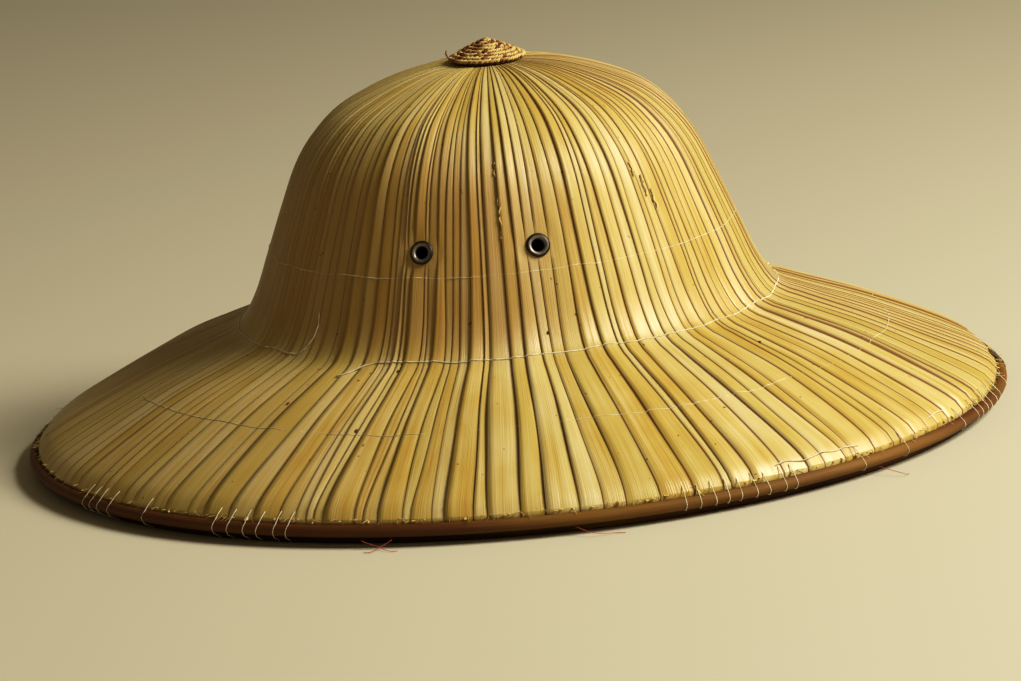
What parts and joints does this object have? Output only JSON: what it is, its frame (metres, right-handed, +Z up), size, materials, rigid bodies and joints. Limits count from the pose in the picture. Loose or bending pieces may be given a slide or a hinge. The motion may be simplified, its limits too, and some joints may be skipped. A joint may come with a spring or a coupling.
{
  "type": "pith helmet",
  "caption": "Palm-leaf sun helmet with a bell-shaped crown, a sloping oval brim, a woven button on top, bamboo hoops at the rim and metal vent eyelets.",
  "frame": {"origin": "middle of the plane that the rim rests on, under the centre of the crown", "axes": "+Z up through the crown's button, +X along the hat's length towards its back, where the outer hoop's ends meet, +Y towards the wearer's right side"},
  "size_m": [0.39, 0.349, 0.1554],
  "materials": {
    "palm_leaf": "dried palm-leaf strips, straw gold, satin, with fine veins along each strip",
    "pale_bamboo": "split bamboo, tan brown, waxy",
    "dark_bamboo": "split bamboo, stained near black-brown",
    "woven_strands": "twisted fibre strands, red-brown and straw, matte",
    "aged_metal": "darkened brass, worn lighter round the hole",
    "thread": "thin pale thread, matte"
  },
  "bodies": {
    "root": {"leaf_cover": "palm_leaf", "outer_hoop": "pale_bamboo", "under_hoop": "dark_bamboo", "crown_button": "woven_strands", "eyelet_left_front": "aged_metal", "eyelet_left_rear": "aged_metal", "eyelet_right_front": "aged_metal", "eyelet_right_rear": "aged_metal"}
  },
  "joints": []
}
